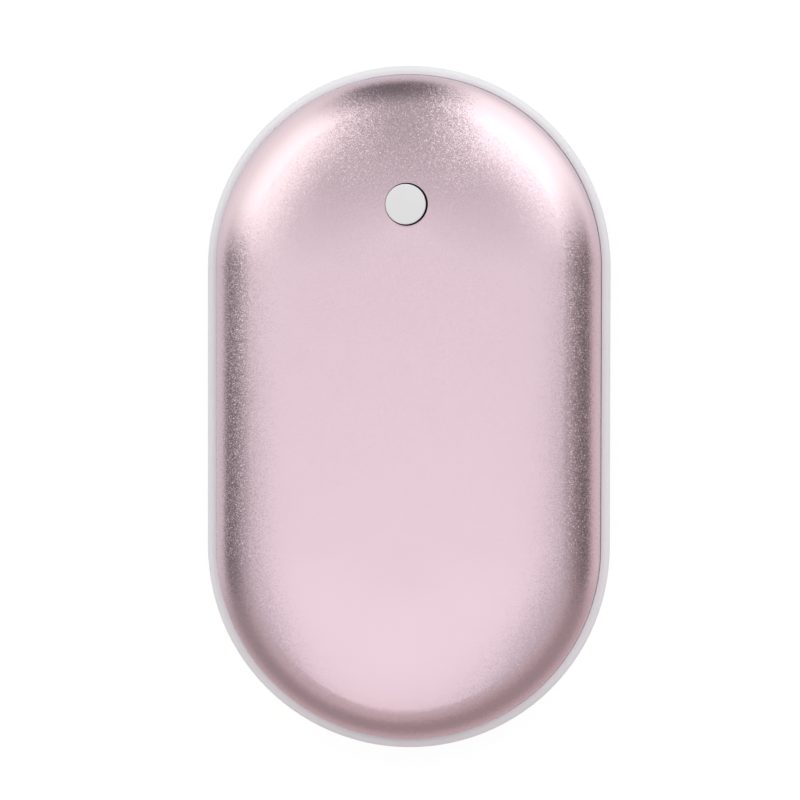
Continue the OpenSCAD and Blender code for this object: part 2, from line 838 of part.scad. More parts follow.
module usb_a_tongue() {
    tongue_w = 11.1;
    color(frame_white) {
        usb_a_form(socket_sheet + fit_gap / 2, mouth_y - usb_len + socket_sheet, usb_core_len);
        translate([usb_x - tongue_w / 2, mouth_y - usb_len + socket_sheet, tongue_z])
            cube([tongue_w, usb_len - socket_sheet - tongue_back, tongue_t]);
    }
}

// Four contact strips under the tongue, at the distances that the plug sets
module usb_a_contacts() {
    contact_w = 1;
    contact_back = 1;
    core_y = mouth_y - usb_len + socket_sheet + usb_core_len;
    color(gold) for (x = [-3.5, -1, 1, 3.5])
        translate([usb_x + x - contact_w / 2, core_y, tongue_z - contact_t])
            cube([contact_w, mouth_y - tongue_back - contact_back - core_y, contact_t]);
}

// Outline of the micro-USB shell: flat against the board, its far corners cut off
module micro_outline(inset) {
    w = micro_w / 2 - inset;
    h = micro_h / 2 - inset;
    corner = 0.8;
    translate([micro_x, micro_z])
        polygon([[-w, h], [-w, corner - h], [corner - w, -h], [w - corner, -h], [w, corner - h], [w, h]]);
}

module micro_usb_shell() {
    color(metal) difference() {
        along_y(mouth_y - micro_len, micro_len) micro_outline(0);
        along_y(mouth_y - micro_len + socket_sheet, micro_len) micro_outline(socket_sheet);
    }
}

module micro_usb_tongue() {
    tongue_w = 3.7;
    tongue_h = 0.6;
    tip_gap = 0.6;
    core_len = 1.2;
    color(part_black) {
        along_y(mouth_y - micro_len + socket_sheet, core_len) micro_outline(socket_sheet + fit_gap / 2);
        translate([micro_x - tongue_w / 2, mouth_y - micro_len + socket_sheet, micro_z - tongue_h / 2])
            cube([tongue_w, micro_len - socket_sheet - tip_gap, tongue_h]);
    }
}

// Clear strip inside the frame with a peg in each charge light window
module light_guide() {
    spread = 3 * window_step;
    margin = 3;
    color(liner_white) {
        translate([0, half_straight, mid_z - guide_h / 2])
            rotate([0, 0, guide_angle - spread - margin]) rotate_extrude(angle = spread + 2 * margin)
                translate([inner_r - fit_gap / 2 - guide_t, 0]) square([guide_t, guide_h]);
        at_windows() translate([0, 0, inner_r - guide_t / 2])
            cylinder(d = window_d - fit_gap, h = frame_wall + guide_t / 2 - fit_gap);
    }
}

module charge_leds() {
    led = [0.8, 1.6, 0.8];
    edge = 0.2;
    color(frame_white) for (i = [0 : 3])
        translate([0, half_straight, board_z - led.z]) rotate([0, 0, guide_angle - i * window_step])
            translate([board_r - led.x - edge, -led.y / 2, 0]) cube(led);
}

module power_inductor() {
    side = 6;
    height = 3;
    rim = 0.4;
    x = board_boss_x - (boss_d + side) / 2 - part_gap;
    color(part_black) translate([-x, button_y - part_gap, board_top]) {
        translate([-side / 2, -side / 2, 0]) cube([side, side, height - rim]);
        cylinder(d = side - 2 * rim, h = height);
    }
}

// Control chip with eight legs on each long side
module control_chip() {
    body = [10, 4, 1.5];
    leg = [0.4, 1, 0.25];
    pitch = 1.2;
    lift = 0.1;
    overlap = 0.2;
    x = board_boss_x - (boss_d + body.x) / 2 - part_gap;
    color(part_black) translate([x, button_y - part_gap, board_top]) {
        translate([-body.x / 2, -body.y / 2, lift]) cube(body);
        for (i = [0 : 7], side = [-1, 1])
            translate([(i - 3.5) * pitch - leg.x / 2, side * ((body.y + leg.y) / 2 - overlap) - leg.y / 2, 0])
                cube(leg);
    }
}

// Two power transistors under the board
module transistors() {
    body = [5, 4, 1.5];
    x = board_boss_x - (boss_d + body.x) / 2 - part_gap;
    color(part_black) for (side = [-1, 1])
        translate([side * x - body.x / 2, board_back_y + part_gap, board_z - body.z]) cube(body);
}

// Row of capacitors beside the USB-A socket
module capacitors() {
    body = [1.6, 3.2, 1.6];
    pitch = body.x + part_gap;
    color(gold) for (i = [1 : 3])
        translate([usb_x + usb_w / 2 + i * pitch, board_boss_y + 2 * part_gap, board_top]) cube(body);
}

// A row of resistors at each side of the board
module resistors() {
    body = [1.6, 0.8, 0.5];
    color(part_black) for (i = [1 : 4], side = [-1, 1])
        translate([side * (board_boss_x + part_gap) - body.x / 2, board_back_y + 2 * i * body.y, board_top])
            cube(body);
}

front_shell();
rear_shell();
front_shell_adhesive();
rear_shell_adhesive();
mid_frame();
power_button();
front_liner();
rear_liner();
front_liner_screws();
rear_liner_screws();
front_heater_film();
rear_heater_film();
front_foam_sheet();
rear_foam_sheet();
front_thermistor();
rear_thermistor();
front_thermistor_leads();
rear_thermistor_leads();
front_heater_leads();
rear_heater_leads();
battery_cell_left();
battery_cell_right();
cell_caps();
cell_insulators();
positive_strip();
negative_strip();
battery_cradle();
battery_foam_pads();
battery_lead_red();
battery_lead_black();
circuit_board();
board_screws();
switch_body();
switch_cover();
switch_plunger();
switch_terminals();
usb_a_shell();
usb_a_tongue();
usb_a_contacts();
micro_usb_shell();
micro_usb_tongue();
light_guide();
charge_leds();
power_inductor();
control_chip();
transistors();
capacitors();
resistors();
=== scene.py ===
"""Visual model of the hand warmer. It is laid out as an add-on and run as a script.

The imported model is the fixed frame. The shells and the button are worked out again here as fine smooth
surfaces, and every other node of the frame keeps its mesh and gets a procedural finish. Lengths are in
metres. The button is near the +Y end, which is called the button's end, and the other is the far end.
"""

import json

import bpy
import numpy as np
from bpy.props import FloatProperty, FloatVectorProperty, PointerProperty
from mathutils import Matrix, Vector


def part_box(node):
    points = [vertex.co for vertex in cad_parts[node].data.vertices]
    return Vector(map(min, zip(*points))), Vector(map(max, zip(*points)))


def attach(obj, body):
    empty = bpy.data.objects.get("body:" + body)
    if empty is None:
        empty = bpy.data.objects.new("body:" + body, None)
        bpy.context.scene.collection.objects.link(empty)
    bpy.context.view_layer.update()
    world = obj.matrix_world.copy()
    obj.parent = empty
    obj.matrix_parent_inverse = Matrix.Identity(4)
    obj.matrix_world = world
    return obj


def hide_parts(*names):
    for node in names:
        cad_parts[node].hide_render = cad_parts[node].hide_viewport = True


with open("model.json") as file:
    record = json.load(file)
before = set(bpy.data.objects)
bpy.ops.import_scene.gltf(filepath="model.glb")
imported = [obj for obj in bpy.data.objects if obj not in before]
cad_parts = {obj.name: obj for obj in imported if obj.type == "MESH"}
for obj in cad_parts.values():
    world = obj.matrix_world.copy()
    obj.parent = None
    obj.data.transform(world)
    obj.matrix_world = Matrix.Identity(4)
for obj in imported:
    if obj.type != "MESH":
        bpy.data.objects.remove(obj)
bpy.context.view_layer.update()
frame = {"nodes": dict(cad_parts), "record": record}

bl_info = {
    "name": "Hand Warmer",
    "version": (1, 0, 0),
    "blender": (4, 5, 0),
    "location": "3D View > Sidebar > Hand Warmer",
    "description": "Builds the shells, the button and the finishes of the hand warmer, and its studio",
    "category": "Object",
}

SHELL_LOW, SHELL_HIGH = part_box("front_shell")
BUTTON_LOW, BUTTON_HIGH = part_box("power_button")
DEGREES = 180 / np.pi

# Steps of a shell: columns round it, rows over the crown and over the side arc of its outer and inner face,
# rows down its upright rim, and steps round an edge of the sheet.
AROUND = 448
OUTER_STEPS = (62, 26)
INNER_STEPS = (20, 9)
RIM_STEPS = 3
EDGE_STEPS = 4
# The crown's rows lie closer together near its hole or middle: even steps are raised to this power.
CROWN_SPACING = 1.35
# Radius of the ring of points next to a pole of the rear shell.
SHELL_POLE_R = 0.0004

# Steps of the button: columns round it, and points from the middle of its face to the edge. The ring of
# points next to a pole has this radius.
BUTTON_AROUND = 144
FACE_POINTS = 22
BUTTON_POLE_R = 0.0002
# How far the rounding of each corner of the button reaches, from its face down to the end of its stem, and
# the points that a rounding has. Past the sharp angle, in radians, an edge isn't shaded smooth.
CORNER_REACH = (0.00004, 0.00005, 0.00015, 0.00015, 0.00015, 0.0002, 0.0002)
CORNER_POINTS = 7
SHARP_ANGLE = 1.2


# ---- Sizes and finishes that a user would change


def length(name, description, default):
    return FloatProperty(name=name, description=description, default=default, unit="LENGTH", precision=5)


def share(name, description, default):
    return FloatProperty(
        name=name, description=description, default=default, min=0.0, max=1.0, subtype="FACTOR"
    )


def colour(name, description, default):
    return FloatVectorProperty(
        name=name, description=description, default=default, size=3, min=0.0, max=1.0, subtype="COLOR"
    )


class ShellSizes(bpy.types.PropertyGroup):
    """Section of the two shells, measured out from the line between the centres of the two ends"""

    half_straight: length("Half straight", "Half length of the straight sides", SHELL_HIGH.y - SHELL_HIGH.x)
    rim_r: length("Rim", "Half width of the shell at its rim", SHELL_HIGH.x)
    rim_z: length("Rim height", "Height of the rim of the front shell", SHELL_LOW.z)
    top: length("Top", "Height of the flat middle of the front shell", SHELL_HIGH.z)
    plateau_r: length("Plateau", "Half width of the flat middle", 0.006)
    crown_r: length("Crown radius", "Radius of the arched crown", 0.100)
    side_r: length("Side radius", "Radius of the turned-down side", 0.007)
    side_z: length("Side height", "Height of the centre of the side radius", 0.01824)
    wall: length("Wall", "Sheet thickness", 0.0008)
    hole_r: length("Hole radius", "Radius of the button's hole", 0.0034)
    hole_x: length("Hole offset", "How far the button's hole stands off the button's axis", 0.00014)
    hole_y: length("Hole place", "Distance of the hole from the middle", (BUTTON_LOW.y + BUTTON_HIGH.y) / 2)
    edge_r: length("Edge rounding", "Rounding of the sheet's edge at the rim", 0.00015)
    hole_edge_r: length("Hole edge rounding", "Rounding of the sheet's edge round the hole", 0.00006)


class ButtonSizes(bpy.types.PropertyGroup):
    """Section of the power button"""

    cap_r: length("Cap radius", "Radius of the cap", 0.0032)
    dome_r: length("Dome radius", "Radius of the domed face of the cap", 0.040)
    bevel: length("Bevel", "Width and height of the bevel round the face", 0.00010)
    collar_t: length("Collar thickness", "Thickness of the collar under the shell", 0.0008)
    stem_r: length("Stem radius", "Radius of the stem that pushes the switch", 0.0015)
    collar_z: length("Collar height", "Height of the underside of the collar", 0.02475)


class Finishes(bpy.types.PropertyGroup):
    """Colours and roughness of the visible finishes"""

    shell_colour: colour("Shell", "Anodised colour of the shells", (0.715, 0.55, 0.614))
    shell_rough: share("Shell roughness", "Roughness of the blasted shells", 0.16)
    shell_grain: length("Shell grain", "Size of the blasted facets", 0.00009)
    shell_lean: share("Facet lean", "How far the blasted facets lean", 0.64)
    frame_colour: colour("Frame", "Colour of the plastic frame", (0.86, 0.83, 0.885))
    button_colour: colour("Button", "Colour of the button", (0.815, 0.80, 0.835))
    # Painted shade: a dark colour laid on the button's plastic below a height, in place of the shade that
    # falls in the gap round the cap.
    gap_shade_colour: colour("Gap shade", "Colour of the dust in the gap round the button", (0.05, 0.035, 0.04))
    gap_shade_top: length("Dust height", "Height up to which dust lies in the gap", BUTTON_HIGH.z - 0.0005)


class StudioSizes(bpy.types.PropertyGroup):
    """Camera, floor and light"""

    lens: FloatProperty(
        name="Lens", description="Focal length on a 36 mm sensor, in mm", default=166.4, min=10
    )
    distance: length("Distance", "Distance of the camera from the point it looks at", 0.600)
    floor_half: length("Floor", "Half width of the floor", 0.8)
    side_reach: length("Side reach", "Half width of the shell where it mirrors the table", 0.0295)
    side_height: length("Side height", "Height of the shell's side over the table", 0.022)
    light: FloatProperty(name="Light", description="Strength of the studio light", default=1.12, min=0)


# ---- Meshes


def add_grid(name, rows, body, closed=False, poles=(None, None), flip=False):
    """Makes one mesh object from a grid of points.

    rows has the shape (m, n, 3). Column n joins column 0, and faces are counted so that a grid whose rows
    run outwards and whose columns run anticlockwise, seen from above, faces up. With closed the last row
    joins the first, and each pole is a single point that closes the grid's first or last row.
    """
    m, n = rows.shape[:2]
    index = np.arange(m * n).reshape(m, n)
    if closed:
        index = np.vstack([index, index[:1]])
    across = np.roll(index, -1, axis=1)
    quads = np.stack([index[:-1], index[1:], across[1:], across[:-1]], axis=-1).reshape(-1, 4)
    points = [rows.reshape(-1, 3)]
    triangles = []
    count = m * n
    for pole, ring, order in ((poles[0], 0, 1), (poles[1], -1, -1)):
        if pole is not None:
            points.append(np.array([pole], float))
            fan = np.stack([np.full(n, count), index[ring], across[ring]], axis=-1)
            triangles.append(fan[:, ::order])
            count += 1
    faces = quads.tolist() + [f for fan in triangles for f in fan.tolist()]
    if flip:
        faces = [f[::-1] for f in faces]
    return add_mesh(name, np.vstack(points), faces, body)


def add_mesh(name, points, faces, body):
    """Makes a smooth-shaded mesh object at the origin that rides on a body."""
    mesh = bpy.data.meshes.new(name)
    mesh.from_pydata(points, [], faces)
    mesh.validate()
    mesh.shade_smooth()
    piece = bpy.data.objects.new(name, mesh)
    bpy.context.scene.collection.objects.link(piece)
    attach(piece, body)
    return piece


def outline(half, r):
    """Points of the spine and outward directions of the outline, evenly spaced at the half width r.

    The outline has two straight runs of length 2 * half and a half turn at each end. A distance along it
    gives a point on the spine and a direction: fixed on the straight runs, turning with distance / r on the
    ends.
    """
    run, turn = 2 * half, np.pi * r
    s = (np.arange(AROUND) + 0.5) / AROUND * 2 * (run + turn)
    part = [s < run, s < run + turn, s < 2 * run + turn]
    spine_y = np.select(part, [s - half, half, half - (s - run - turn)], -half)
    angle = np.select(part, [0.0, (s - run) / r, np.pi], (s - 2 * run) / r)
    spine = np.stack([np.zeros(AROUND), spine_y], axis=-1)
    return spine, np.stack([np.cos(angle), np.sin(angle)], axis=-1)


def crown_height(size, x, y, inset):
    """Height of the crown over a point: flat within plateau_r of the spine, and beyond it the arc of radius
    crown_r whose centre lies under the edge of the flat part. An inset moves the face inwards."""
    beyond = np.hypot(x, np.maximum(np.abs(y) - size.half_straight, 0)) - size.plateau_r
    fall = np.sqrt((size.crown_r - inset) ** 2 - np.maximum(beyond, 0) ** 2)
    return size.top - size.crown_r + fall


def shell_face(size, centre, start_r, inset, steps):
    """Rows of one face of a shell, from round its hole or middle out to its rim.

    In plan each column runs straight from a circle round the hole to where the crown meets the side arc, at
    the height that crown_height gives, then round the side arc and down to the rim along the outline's
    normal.
    """
    crown_steps, side_steps = steps
    spine, out = outline(size.half_straight, size.rim_r)
    side_x = size.rim_r - size.side_r
    lean = np.arcsin((side_x - size.plateau_r) / (size.crown_r - size.side_r))
    join = spine + (size.plateau_r + (size.crown_r - inset) * np.sin(lean)) * out
    away = join - centre
    start = np.asarray(centre) + start_r * away / np.linalg.norm(away, axis=1, keepdims=True)
    share_out = (np.linspace(0, 1, crown_steps + 1) ** CROWN_SPACING)[:, None, None]
    plan = start + share_out * (join - start)
    crown = np.dstack([plan, crown_height(size, plan[..., 0], plan[..., 1], inset)])
    turn = np.linspace(lean, np.pi / 2, side_steps + 1)[1:]
    r = np.append(side_x + (size.side_r - inset) * np.sin(turn), [size.rim_r - inset] * RIM_STEPS)
    z = np.append(
        size.side_z + (size.side_r - inset) * np.cos(turn),
        np.linspace(size.side_z, size.rim_z + size.edge_r, RIM_STEPS + 1)[1:],
    )
    plan = spine + r[:, None, None] * out
    side = np.dstack([plan, np.broadcast_to(z[:, None], plan.shape[:2])])
    return np.concatenate([crown, side])


def shell_rim(size):
    """Rows that turn round the rim from the outer face to the inner one, each edge rounded to edge_r."""
    spine, out = outline(size.half_straight, size.rim_r)
    turn = np.linspace(0, np.pi / 2, EDGE_STEPS + 1)
    outer_r = size.rim_r - size.edge_r * (1 - np.cos(turn))
    inner_r = size.rim_r - size.wall + size.edge_r * (1 - np.sin(turn))
    r = np.append(outer_r[1:], inner_r[:-1])
    z = size.rim_z + size.edge_r * (1 - np.append(np.sin(turn)[1:], np.cos(turn)[:-1]))
    plan = spine + r[:, None, None] * out
    return np.dstack([plan, np.broadcast_to(z[:, None], plan.shape[:2])])


def hole_wall(size):
    """Rows up the wall of the button's hole, from the inner face to the rounded edge of the outer one."""
    spine, out = outline(size.half_straight, size.rim_r)
    side_x = size.rim_r - size.side_r
    centre = np.array([size.hole_x, size.hole_y])
    away = spine + side_x * out - centre
    away = away / np.linalg.norm(away, axis=1, keepdims=True)
    turn = np.append([0.0, 0.0], np.linspace(0, np.pi / 2, EDGE_STEPS + 2)[1:-1])
    r = size.hole_r + size.hole_edge_r * (1 - np.cos(turn))
    plan = centre + r[:, None, None] * away
    z = crown_height(size, plan[..., 0], plan[..., 1], 0.0) - size.hole_edge_r * (1 - np.sin(turn))[:, None]
    z[0] = crown_height(size, plan[0, :, 0], plan[0, :, 1], size.wall) + size.hole_edge_r
    return np.dstack([plan, z])


def turned(profile, centre):
    """Rows of a turned form: each point (r, z) of the profile goes round a circle about the centre."""
    angle = np.arange(BUTTON_AROUND) / BUTTON_AROUND * 2 * np.pi
    r, z = profile[:, 0, None], profile[:, 1, None]
    x = centre[0] + r * np.cos(angle)
    y = centre[1] + r * np.sin(angle)
    return np.stack([x, y, np.broadcast_to(z, x.shape)], axis=-1)


def rounded(points, reach):
    """A polyline whose corners are rounded: at each inner point the places on both sides of it, as far off as
    reach says, are joined by a parabola that is tangent to both stretches."""
    points = np.asarray(points, float)
    back = points[:-2] - points[1:-1]
    ahead = points[2:] - points[1:-1]
    size = np.asarray(reach, float)[:, None]
    a = points[1:-1] + size * back / np.linalg.norm(back, axis=1, keepdims=True)
    b = points[1:-1] + size * ahead / np.linalg.norm(ahead, axis=1, keepdims=True)
    t = np.linspace(0, 1, CORNER_POINTS)[None, :, None]
    curve = (1 - t) ** 2 * a[:, None] + 2 * t * (1 - t) * points[1:-1, None] + t ** 2 * b[:, None]
    return np.vstack([points[:1], curve.reshape(-1, 2), points[-1:]])


# ---- Shader arithmetic


class Value:
    """A value in a node tree. Arithmetic on it adds Math nodes to that tree."""

    def __init__(self, recipe, socket):
        self.recipe = recipe
        self.socket = socket

    def math(self, operation, *numbers):
        return self.recipe.node("ShaderNodeMath", {"operation": operation}, dict(enumerate(numbers)))

    def vector(self, operation, *vectors, out="Vector", **more):
        sockets = {**dict(enumerate(vectors)), **more}
        return self.recipe.node("ShaderNodeVectorMath", {"operation": operation}, sockets, out)

    def __add__(self, other):
        return self.math("ADD", self, other)

    def __sub__(self, other):
        return self.math("SUBTRACT", self, other)

    def __rsub__(self, other):
        return self.math("SUBTRACT", other, self)

    def __mul__(self, other):
        return self.math("MULTIPLY", self, other)

    def __truediv__(self, other):
        return self.math("DIVIDE", self, other)

    def __pow__(self, other):
        return self.math("POWER", self, other)

    __radd__ = __add__
    __rmul__ = __mul__


class Recipe:
    """The node tree of one material or world."""

    def __init__(self, tree, output):
        self.tree = tree
        self.tree.nodes.clear()
        self.output = tree.nodes.new(output)

    def node(self, kind, settings=None, sockets=None, out=0):
        """Adds a node: its settings first, then the values or links of its sockets."""
        node = self.tree.nodes.new(kind)
        for key, value in (settings or {}).items():
            setattr(node, key, value)
        for key, value in (sockets or {}).items():
            if isinstance(value, Value):
                self.tree.links.new(value.socket, node.inputs[key])
            else:
                node.inputs[key].default_value = value
        return Value(self, node.outputs[out])

    def place(self):
        """The place on the object, in metres."""
        return self.node("ShaderNodeTexCoord", out="Object")

    def stretched(self, scale):
        """Places with each axis scaled, which draws a pattern out along the axes of small scale."""
        return self.node("ShaderNodeMapping", {}, {"Vector": self.place(), "Scale": scale})

    def noise(self, size, detail=2.0, vector=None):
        """Noise from 0 to 1 whose blotches are about the given size across, in metres."""
        vector = vector or self.place()
        return self.node("ShaderNodeTexNoise", {}, {"Vector": vector, "Scale": 1 / size, "Detail": detail})

    def cells(self, size, out="Distance"):
        """Cells of the given size: the distance from each one's point, or a random colour for each."""
        return self.node("ShaderNodeTexVoronoi", {}, {"Vector": self.place(), "Scale": 1 / size}, out)

    def axes(self, vector=None):
        """The three coordinates of a place."""
        split = self.node("ShaderNodeSeparateXYZ", {}, {"Vector": vector or self.place()}).socket.node
        return [Value(self, s) for s in split.outputs]

    def between(self, value, low, high, to_low=0.0, to_high=1.0):
        """Goes smoothly from to_low to to_high as the value goes from low to high."""
        return self.node(
            "ShaderNodeMapRange", {"interpolation_type": "SMOOTHSTEP"},
            {"Value": value, "From Min": low, "From Max": high, "To Min": to_low, "To Max": to_high},
        )

    def mix(self, factor, a, b):
        """Mixes two colours."""
        a, b = [v if isinstance(v, Value) else (*v, 1.0) for v in (a, b)]
        return self.node("ShaderNodeMix", {"data_type": "RGBA"}, {0: factor, 6: a, 7: b}, out=2)

    def bump(self, height, depth):
        """The normal of a surface that rises by the depth, in metres, where the height goes from 0 to 1."""
        return self.node("ShaderNodeBump", {}, {"Height": height, "Distance": depth})

    def seen(self):
        """1 for what the camera sees, straight or through clear plastic."""
        through = self.node("ShaderNodeLightPath", out="Is Transmission Ray")
        return through.math("MAXIMUM", through, self.node("ShaderNodeLightPath", out="Is Camera Ray"))

    def surface(self, shader):
        self.tree.links.new(shader.socket, self.output.inputs["Surface"])


def new_material(name):
    material = bpy.data.materials.new(name)
    material.use_nodes = True
    return material, Recipe(material.node_tree, "ShaderNodeOutputMaterial")


def principled(recipe, colour_value, **sockets):
    """One Principled shader as the surface. Underscores in the names stand for spaces."""
    if not isinstance(colour_value, Value):
        colour_value = (*colour_value, 1.0)
    values = {key.replace("_", " "): value for key, value in sockets.items()}
    recipe.surface(recipe.node("ShaderNodeBsdfPrincipled", {}, {"Base Color": colour_value, **values}))


def shade(tint, factor):
    return tuple(min(1.0, c * factor) for c in tint)


# ---- Finishes

# The shells' grain. Slopes in degrees between which the sheet turns down, and between which the grain grows
# from 1 to 1.4 times its strength. Places along Y between which the straight sides end, the far end begins
# and the button's end begins, and distances from the Y axis between which the last one's share ends.
TURNED_DOWN = (9.5, 19)
GRAIN_GROWS = (20, 42, 1.0, 1.4)
SIDES_END = (0.021, 0.031, 1.0, 0.0)
FAR_END_BEGINS = (-0.021, -0.031)
BUTTON_END_BEGINS = (0.029, 0.040)
BUTTON_END_WIDTH = (0.008, 0.0135, 1.0, 0.0)
# Share of the grain that the flat middle keeps, and how much more there is elsewhere.
KEPT_FLAT = 0.25
MORE_AT_SIDES = 0.75
MORE_AT_BUTTON_END = 0.4
MORE_AT_FAR_END = 0.6

# Moulded plastic: size and depth of the mould's texture, and size of the cloudiness.
MOULD_GRAIN = 0.0004
MOULD_DEPTH = 0.000004
BUTTON_MOULD_DEPTH = 0.000002
CLOUD = 0.009
# Depth over which the painted shade in the button's gap fades out.
GAP_SHADE_FADE = 0.0004


def blasted_aluminium(finish):
    """Anodised sheet, blasted: countless small facets, each leaning its own way. Most lean only a little and
    a few lean far, so that dark reflections glitter while bright ones stay even. The flat middle is rubbed
    smooth, the straight sides keep the full grain, the far end most of it and the button's end about two
    thirds, and it is strongest where the sheet turns down."""
    material, r = new_material("blasted aluminium")
    facing = r.node("ShaderNodeNewGeometry", out="Normal")
    x, y, _ = r.axes()
    _, _, upright = r.axes(facing)
    slope = upright.math("ARCCOSINE", upright.math("ABSOLUTE", upright)) * DEGREES
    steep = r.between(slope, *TURNED_DOWN)
    sides = steep * r.between(y.math("ABSOLUTE", y), *SIDES_END)
    far_end = steep * r.between(y, *FAR_END_BEGINS)
    button_end = r.between(y, *BUTTON_END_BEGINS) * r.between(x.math("ABSOLUTE", x), *BUTTON_END_WIDTH)
    more = sides.math("MAXIMUM", MORE_AT_SIDES * sides, MORE_AT_BUTTON_END * button_end)
    share_kept = KEPT_FLAT + more + MORE_AT_FAR_END * far_end
    share_kept = share_kept * r.between(slope, *GRAIN_GROWS)
    lean = r.cells(finish.shell_grain, out="Color")
    lean = lean.vector("SUBTRACT", lean, (0.5, 0.5, 0.5))
    far = lean.vector("DOT_PRODUCT", lean, lean, out="Value")
    lean = lean.vector("SCALE", lean, Scale=far * share_kept * finish.shell_lean)
    normal = lean.vector("NORMALIZE", lean.vector("ADD", lean, facing))
    cloud = r.noise(0.006)
    tint = r.mix(cloud, shade(finish.shell_colour, 0.985), shade(finish.shell_colour, 1.015))
    rough = finish.shell_rough + 0.02 * (cloud - 0.5)
    principled(r, tint, Metallic=1.0, Roughness=rough, Normal=normal)
    return material


def moulded(name, tint, rough, grain=MOULD_GRAIN, depth=MOULD_DEPTH, vary=0.03):
    """Moulded plastic: a fine texture from the mould, a faint cloudiness in colour and in gloss."""
    material, r = new_material(name)
    texture = r.noise(grain, 3.0)
    cloud = r.noise(CLOUD)
    shades = r.mix(cloud, shade(tint, 1 - vary), shade(tint, 1 + vary))
    principled(r, shades, Roughness=rough + 0.08 * (cloud - 0.5), Normal=r.bump(texture, depth))
    return material


def moulded_button(finish):
    """The button's moulded plastic, with painted shade in the gap round the cap: below a height it turns dark
    and rougher.
    """
    material, r = new_material("button plastic")
    texture = r.noise(MOULD_GRAIN, 3.0)
    cloud = r.noise(CLOUD)
    shades = r.mix(cloud, shade(finish.button_colour, 0.98), shade(finish.button_colour, 1.02))
    # Painted shade: below a height the plastic fades to a dark colour and grows rougher, in place of the
    # shade in the gap round the cap.
    gap_shade = r.between(r.axes()[2], finish.gap_shade_top - GAP_SHADE_FADE, finish.gap_shade_top, 1.0, 0.0)
    shades = r.mix(gap_shade, shades, finish.gap_shade_colour)
    rough = 0.40 + 0.08 * (cloud - 0.5) + 0.5 * gap_shade
    principled(r, shades, Roughness=rough, Normal=r.bump(texture, BUTTON_MOULD_DEPTH))
    return material


def plated(name, tint, rough):
    """Plated sheet metal: fine rolling lines along X, and small stains that are a little rougher."""
    material, r = new_material(name)
    lines = r.noise(0.0003, 3.0, r.stretched((0.08, 1.0, 1.0)))
    stains = r.noise(0.0025, 3.0)
    shades = r.mix(stains, shade(tint, 0.88), shade(tint, 1.05))
    rough = rough + 0.15 * (stains - 0.5)
    principled(r, shades, Metallic=1.0, Roughness=rough, Normal=r.bump(lines, 0.000003))
    return material


def heater_track(name):
    """Amber film with a copper track that runs to and fro across it under the surface."""
    pitch, half_width, fade = 0.0032, 0.0205, 0.0003
    material, r = new_material(name)
    x, y, _ = r.axes()
    turn = y * (2 * np.pi / pitch)
    wave = turn.math("SINE", turn)
    lane = r.between(x.math("ABSOLUTE", x), half_width, half_width + fade, 1.0, 0.0)
    track = r.between(wave.math("ABSOLUTE", wave), 0.45, 0.6) * lane
    cloud = r.noise(0.004, 3.0)
    film = r.mix(cloud, (0.60, 0.26, 0.05), (0.74, 0.36, 0.08))
    shades = r.mix(track, film, (0.72, 0.40, 0.22))
    rough = 0.28 + 0.1 * cloud
    principled(r, shades, Roughness=rough, Normal=r.bump(track, 0.00003), Metallic=0.55 * track)
    return material


def open_foam(name, tint, cell):
    """Fine foam: small cells that read as dents, with painted shade that darkens their bottoms."""
    material, r = new_material(name)
    dents = r.cells(cell)
    # Painted shade: the colour goes darker towards the bottom of each dent.
    shades = r.mix(r.between(dents, 0.1, 0.6), shade(tint, 0.5), shade(tint, 1.3))
    principled(r, shades, Roughness=0.92, Normal=r.bump(dents, 0.00012))
    return material


def solder_mask(name):
    """Green board: copper runs show as lighter lines under the mask, with round tinned pads between them."""
    runs_per_metre, sway, pad_pitch = 520.0, 3.0, 0.0034
    material, r = new_material(name)
    lines = r.axes()[0] * runs_per_metre + r.noise(0.006, 1.0) * sway
    across = lines.math("FRACT", lines)
    run = r.between(across, 0.42, 0.5) * r.between(across, 0.62, 0.7, 1.0, 0.0)
    pads = r.between(r.cells(pad_pitch), 0.16, 0.2, 1.0, 0.0)
    mask = r.mix(run, (0.012, 0.10, 0.045), (0.03, 0.19, 0.085))
    shades = r.mix(pads, mask, (0.72, 0.70, 0.66))
    principled(r, shades, Roughness=0.35 - 0.1 * run, Metallic=pads, Normal=r.bump(run + pads, 0.00003))
    return material


def shrink_sleeve(name, tint):
    """Glossy shrunk sleeve with faint creases along the cell."""
    material, r = new_material(name)
    creases = r.noise(0.0016, 2.0, r.stretched((1.0, 0.12, 1.0)))
    cloud = r.noise(0.010)
    shades = r.mix(cloud, shade(tint, 0.9), shade(tint, 1.12))
    principled(r, shades, Roughness=0.22 + 0.1 * creases, Normal=r.bump(creases, 0.00002))
    return material


def clear_acrylic(name):
    """Clear moulding with a faint haze that spreads the light."""
    material, r = new_material(name)
    haze = r.noise(0.0012, 3.0)
    shades = r.mix(haze, (0.84, 0.87, 0.89), (0.93, 0.95, 0.96))
    rough = 0.12 + 0.15 * haze
    principled(r, shades, Roughness=rough, Transmission_Weight=0.6, IOR=1.49, Normal=r.bump(haze, 0.00001))
    return material


# ---- Operators, one for each piece or group of like pieces


